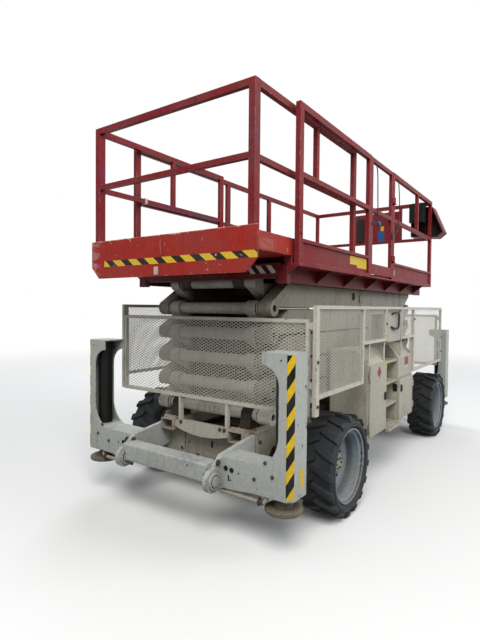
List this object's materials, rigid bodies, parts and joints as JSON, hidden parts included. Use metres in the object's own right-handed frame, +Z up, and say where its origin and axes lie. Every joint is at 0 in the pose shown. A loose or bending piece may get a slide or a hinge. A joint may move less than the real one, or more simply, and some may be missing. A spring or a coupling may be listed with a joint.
{
  "type": "rough-terrain scissor lift",
  "caption": "Rough-terrain scissor lift, stowed, with a roll-out deck, outrigger towers, mesh guards, side cabinets and a working scissor stack.",
  "frame": {"origin": "on the ground at the middle of the machine", "axes": "+Y from the roll-out deck's end to the steered end, +Z up, +X to the side with the ladder"},
  "size_m": [2.26, 5.1636, 3.2496],
  "materials": {
    "cream_paint": "satin",
    "grimy_arm_paint": "satin",
    "white_tower_paint": "satin",
    "dark_red_paint": "satin",
    "orange_red_paint": "satin",
    "rusty_steel": "rough",
    "grey_rim_paint": "satin",
    "black_paint": "satin",
    "axle_paint": "rough",
    "tyre_rubber": "matte",
    "chromed_rod": "polished",
    "slide_block_plastic": "matte"
  },
  "bodies": {
    "base": {"chassis": "cream_paint", "slide_channels": "rusty_steel", "towers_near": "white_tower_paint", "towers_far": "white_tower_paint", "cross_beams": "white_tower_paint", "leg_barrels": "black_paint", "drive_axle": "axle_paint", "steer_axle": "axle_paint", "end_guards": "cream_paint", "side_guards": "cream_paint", "end_guard_mesh": "cream_paint", "side_guard_mesh": "cream_paint", "cabinets_right": "cream_paint", "cabinet_left": "cream_paint", "engine": "black_paint", "ladder": "cream_paint"},
    "wheel_fixed_right": {"tyre_fixed_right": "tyre_rubber", "rim_fixed_right": "grey_rim_paint"},
    "wheel_steer_right": {"tyre_steer_right": "tyre_rubber", "rim_steer_right": "grey_rim_paint"},
    "knuckle_right": {"knuckle_right": "axle_paint"},
    "wheel_fixed_left": {"tyre_fixed_left": "tyre_rubber", "rim_fixed_left": "grey_rim_paint"},
    "wheel_steer_left": {"tyre_steer_left": "tyre_rubber", "rim_steer_left": "grey_rim_paint"},
    "knuckle_left": {"knuckle_left": "axle_paint"},
    "leg_near_right": {"leg_near_right": "chromed_rod"},
    "leg_near_left": {"leg_near_left": "chromed_rod"},
    "leg_far_right": {"leg_far_right": "chromed_rod"},
    "leg_far_left": {"leg_far_left": "chromed_rod"},
    "door_right_near": {"door_right_near": "cream_paint"},
    "door_right_far": {"door_right_far": "cream_paint"},
    "door_left_near": {"door_left_near": "cream_paint"},
    "door_left_far": {"door_left_far": "cream_paint"},
    "outer_1": {"outer_arms_1": "grimy_arm_paint"},
    "inner_1": {"inner_arms_1": "grimy_arm_paint"},
    "outer_2": {"outer_arms_2": "grimy_arm_paint"},
    "inner_2": {"inner_arms_2": "grimy_arm_paint"},
    "outer_3": {"outer_arms_3": "grimy_arm_paint"},
    "inner_3": {"inner_arms_3": "grimy_arm_paint"},
    "outer_4": {"outer_arms_4": "grimy_arm_paint"},
    "inner_4": {"inner_arms_4": "grimy_arm_paint"},
    "outer_5": {"outer_arms_5": "grimy_arm_paint"},
    "inner_5": {"inner_arms_5": "grimy_arm_paint"},
    "platform": {"deck": "dark_red_paint", "main_rails": "dark_red_paint", "control_station": "dark_red_paint", "control_box": "black_paint"},
    "bottom_slide": {"bottom_slide_blocks": "slide_block_plastic"},
    "top_slide": {"top_slide_blocks": "slide_block_plastic"},
    "barrel_lower": {"lift_barrel_lower": "black_paint"},
    "rod_lower": {"lift_rod_lower": "chromed_rod"},
    "barrel_upper": {"lift_barrel_upper": "black_paint"},
    "rod_upper": {"lift_rod_upper": "chromed_rod"},
    "gate": {"gate": "dark_red_paint"},
    "extension": {"extension_deck": "orange_red_paint", "extension_rails": "dark_red_paint"}
  },
  "joints": [
    {"name": "wheel_fixed_right_spin", "type": "hinge", "parent": "base", "child": "wheel_fixed_right", "pos_m": [0.95, -1.472, 0.42], "axis": [1, 0, 0], "continuous": true},
    {"name": "wheel_fixed_left_spin", "type": "hinge", "parent": "base", "child": "wheel_fixed_left", "pos_m": [-0.95, -1.472, 0.42], "axis": [1, 0, 0], "continuous": true},
    {"name": "steer_right", "type": "hinge", "parent": "base", "child": "knuckle_right", "pos_m": [0.72, 1.574, 0.42], "axis": [0, 0, 1], "range_deg": [-28, 28]},
    {"name": "wheel_steer_right_spin", "type": "hinge", "parent": "knuckle_right", "child": "wheel_steer_right", "pos_m": [0.95, 1.574, 0.42], "axis": [1, 0, 0], "continuous": true},
    {"name": "steer_left", "type": "hinge", "parent": "base", "child": "knuckle_left", "pos_m": [-0.72, 1.574, 0.42], "axis": [0, 0, 1], "range_deg": [-28, 28]},
    {"name": "wheel_steer_left_spin", "type": "hinge", "parent": "knuckle_left", "child": "wheel_steer_left", "pos_m": [-0.95, 1.574, 0.42], "axis": [1, 0, 0], "continuous": true},
    {"name": "leg_near_right_down", "type": "slide", "parent": "base", "child": "leg_near_right", "axis": [0, 0, -1], "range_m": [0, 0.5]},
    {"name": "leg_near_left_down", "type": "slide", "parent": "base", "child": "leg_near_left", "axis": [0, 0, -1], "range_m": [0, 0.5]},
    {"name": "leg_far_right_down", "type": "slide", "parent": "base", "child": "leg_far_right", "axis": [0, 0, -1], "range_m": [0, 0.5]},
    {"name": "leg_far_left_down", "type": "slide", "parent": "base", "child": "leg_far_left", "axis": [0, 0, -1], "range_m": [0, 0.5]},
    {"name": "door_right_near", "type": "hinge", "parent": "base", "child": "door_right_near", "pos_m": [1.0603, -0.9, 0.75], "axis": [0, 0, -1], "range_deg": [0, 110]},
    {"name": "door_right_far", "type": "hinge", "parent": "base", "child": "door_right_far", "pos_m": [1.0603, 0.53, 0.75], "axis": [0, 0, 1], "range_deg": [0, 110]},
    {"name": "door_left_near", "type": "hinge", "parent": "base", "child": "door_left_near", "pos_m": [-1.0603, -0.9, 0.75], "axis": [0, 0, 1], "range_deg": [0, 110]},
    {"name": "door_left_far", "type": "hinge", "parent": "base", "child": "door_left_far", "pos_m": [-1.0603, 0.53, 0.75], "axis": [0, 0, -1], "range_deg": [0, 110]},
    {"name": "lift", "type": "hinge", "parent": "base", "child": "inner_1", "pos_m": [0, 1.81, 0.825], "axis": [-1, 0, 0], "range_deg": [0, 50]},
    {"name": "cross_1", "type": "hinge", "parent": "inner_1", "child": "outer_1", "pos_m": [0, -0.04, 0.93565], "axis": [1, 0, 0], "range_deg": [0, 100]},
    {"name": "near_1", "type": "hinge", "parent": "inner_1", "child": "outer_2", "pos_m": [0, -1.89, 1.0463], "axis": [1, 0, 0], "range_deg": [0, 100]},
    {"name": "cross_2", "type": "hinge", "parent": "outer_2", "child": "inner_2", "pos_m": [0, -0.04, 1.15695], "axis": [-1, 0, 0], "range_deg": [0, 100]},
    {"name": "far_2", "type": "hinge", "parent": "outer_2", "child": "inner_3", "pos_m": [0, 1.81, 1.2676], "axis": [-1, 0, 0], "range_deg": [0, 100]},
    {"name": "cross_3", "type": "hinge", "parent": "inner_3", "child": "outer_3", "pos_m": [0, -0.04, 1.37825], "axis": [1, 0, 0], "range_deg": [0, 100]},
    {"name": "near_3", "type": "hinge", "parent": "inner_3", "child": "outer_4", "pos_m": [0, -1.89, 1.4889], "axis": [1, 0, 0], "range_deg": [0, 100]},
    {"name": "cross_4", "type": "hinge", "parent": "outer_4", "child": "inner_4", "pos_m": [0, -0.04, 1.59955], "axis": [-1, 0, 0], "range_deg": [0, 100]},
    {"name": "far_4", "type": "hinge", "parent": "outer_4", "child": "inner_5", "pos_m": [0, 1.81, 1.7102], "axis": [-1, 0, 0], "range_deg": [0, 100]},
    {"name": "cross_5", "type": "hinge", "parent": "inner_5", "child": "outer_5", "pos_m": [0, -0.04, 1.82085], "axis": [1, 0, 0], "range_deg": [0, 100]},
    {"name": "platform_pin", "type": "hinge", "parent": "outer_5", "child": "platform", "pos_m": [0, 1.81, 1.9315], "axis": [-1, 0, 0], "range_deg": [0, 50]},
    {"name": "bottom_slide_pin", "type": "hinge", "parent": "outer_1", "child": "bottom_slide", "pos_m": [0, -1.89, 0.825], "axis": [-1, 0, 0], "range_deg": [0, 50]},
    {"name": "top_slide_pin", "type": "hinge", "parent": "inner_5", "child": "top_slide", "pos_m": [0, -1.89, 1.9315], "axis": [1, 0, 0], "range_deg": [0, 50]},
    {"name": "cylinder_lower_swing", "type": "hinge", "parent": "inner_1", "child": "barrel_lower", "pos_m": [0, 1.45864, 0.86805], "axis": [-1, 0, 0], "range_deg": [0, 9.06]},
    {"name": "cylinder_lower_stroke", "type": "slide", "parent": "barrel_lower", "child": "rod_lower", "axis": [0, -0.9975, 0.0707], "range_m": [0, 0.5379]},
    {"name": "cylinder_upper_swing", "type": "hinge", "parent": "inner_3", "child": "barrel_upper", "pos_m": [0, 1.45864, 1.31065], "axis": [-1, 0, 0], "range_deg": [0, 9.06]},
    {"name": "cylinder_upper_stroke", "type": "slide", "parent": "barrel_upper", "child": "rod_upper", "axis": [0, -0.9975, 0.0707], "range_m": [0, 0.5379]},
    {"name": "gate_swing", "type": "hinge", "parent": "platform", "child": "gate", "pos_m": [0.921, 0.183, 2.65], "axis": [0, 0, 1], "range_deg": [0, 95]},
    {"name": "extension_roll", "type": "slide", "parent": "platform", "child": "extension", "axis": [0, -1, 0], "range_m": [-0.45, 0.85]}
  ],
  "couplings": [
    {"joint": "steer_left", "follows": "steer_right", "ratio": 1},
    {"joint": "cross_1", "follows": "lift", "ratio": 2},
    {"joint": "near_1", "follows": "lift", "ratio": 2},
    {"joint": "cross_2", "follows": "lift", "ratio": 2},
    {"joint": "far_2", "follows": "lift", "ratio": 2},
    {"joint": "cross_3", "follows": "lift", "ratio": 2},
    {"joint": "near_3", "follows": "lift", "ratio": 2},
    {"joint": "cross_4", "follows": "lift", "ratio": 2},
    {"joint": "far_4", "follows": "lift", "ratio": 2},
    {"joint": "cross_5", "follows": "lift", "ratio": 2},
    {"joint": "platform_pin", "follows": "lift", "ratio": 1},
    {"joint": "bottom_slide_pin", "follows": "lift", "ratio": 1},
    {"joint": "top_slide_pin", "follows": "lift", "ratio": 1},
    {"joint": "cylinder_lower_swing", "follows": "lift", "ratio": 0.17919},
    {"joint": "cylinder_lower_stroke", "follows": "lift", "m_per_rad": 0.61409},
    {"joint": "cylinder_upper_swing", "follows": "lift", "ratio": 0.17919},
    {"joint": "cylinder_upper_stroke", "follows": "lift", "m_per_rad": 0.61409}
  ]
}
